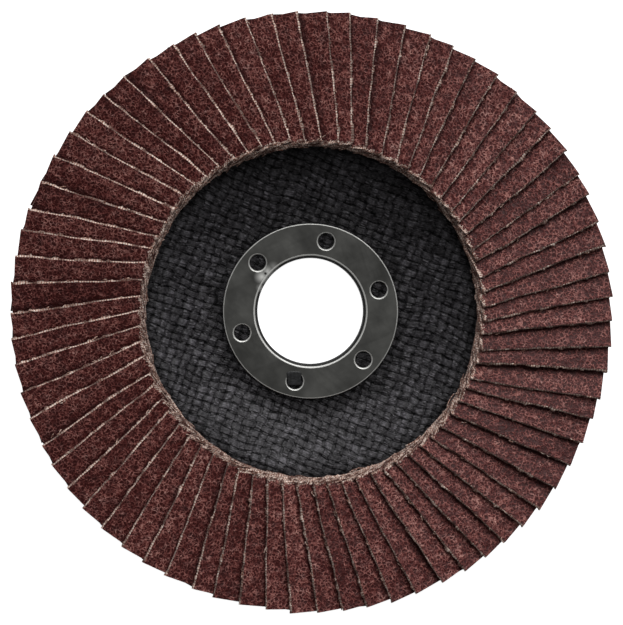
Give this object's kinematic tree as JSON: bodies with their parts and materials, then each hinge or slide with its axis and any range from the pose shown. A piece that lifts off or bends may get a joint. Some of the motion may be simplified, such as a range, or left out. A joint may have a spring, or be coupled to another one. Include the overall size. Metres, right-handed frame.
{
  "type": "flap disc",
  "caption": "Round grinding disc with overlapping abrasive cloth flaps glued in a ring on a dished resin backing plate with a metal-lined centre bore.",
  "frame": {"origin": "on the axis of the bore, in the plane of the hub's back face", "axes": "+Z along the bore towards the abrasive side; +Y up and +X right in the picture's view of that side"},
  "size_m": [0.125, 0.125, 0.0151],
  "materials": {
    "backing_plate": "black resin-bonded glass cloth, weave showing",
    "centre_ring": "satin tin-plated pressed steel",
    "adhesive": "set epoxy resin",
    "abrasive_flaps": "red-brown abrasive grain on cotton cloth"
  },
  "bodies": {
    "root": {"backing_plate": "backing_plate", "centre_ring": "centre_ring", "adhesive_bed": "adhesive", "flap_pair_01": "abrasive_flaps", "flap_pair_02": "abrasive_flaps", "flap_pair_03": "abrasive_flaps", "flap_pair_04": "abrasive_flaps", "flap_pair_05": "abrasive_flaps", "flap_pair_06": "abrasive_flaps", "flap_pair_07": "abrasive_flaps", "flap_pair_08": "abrasive_flaps", "flap_pair_09": "abrasive_flaps", "flap_pair_10": "abrasive_flaps", "flap_pair_11": "abrasive_flaps", "flap_pair_12": "abrasive_flaps", "flap_pair_13": "abrasive_flaps", "flap_pair_14": "abrasive_flaps", "flap_pair_15": "abrasive_flaps", "flap_pair_16": "abrasive_flaps", "flap_pair_17": "abrasive_flaps", "flap_pair_18": "abrasive_flaps", "flap_pair_19": "abrasive_flaps", "flap_pair_20": "abrasive_flaps", "flap_pair_21": "abrasive_flaps", "flap_pair_22": "abrasive_flaps", "flap_pair_23": "abrasive_flaps", "flap_pair_24": "abrasive_flaps", "flap_pair_25": "abrasive_flaps", "flap_pair_26": "abrasive_flaps", "flap_pair_27": "abrasive_flaps", "flap_pair_28": "abrasive_flaps", "flap_pair_29": "abrasive_flaps", "flap_pair_30": "abrasive_flaps", "flap_pair_31": "abrasive_flaps", "flap_pair_32": "abrasive_flaps", "flap_pair_33": "abrasive_flaps", "flap_pair_34": "abrasive_flaps", "flap_pair_35": "abrasive_flaps", "flap_pair_36": "abrasive_flaps"}
  },
  "joints": []
}
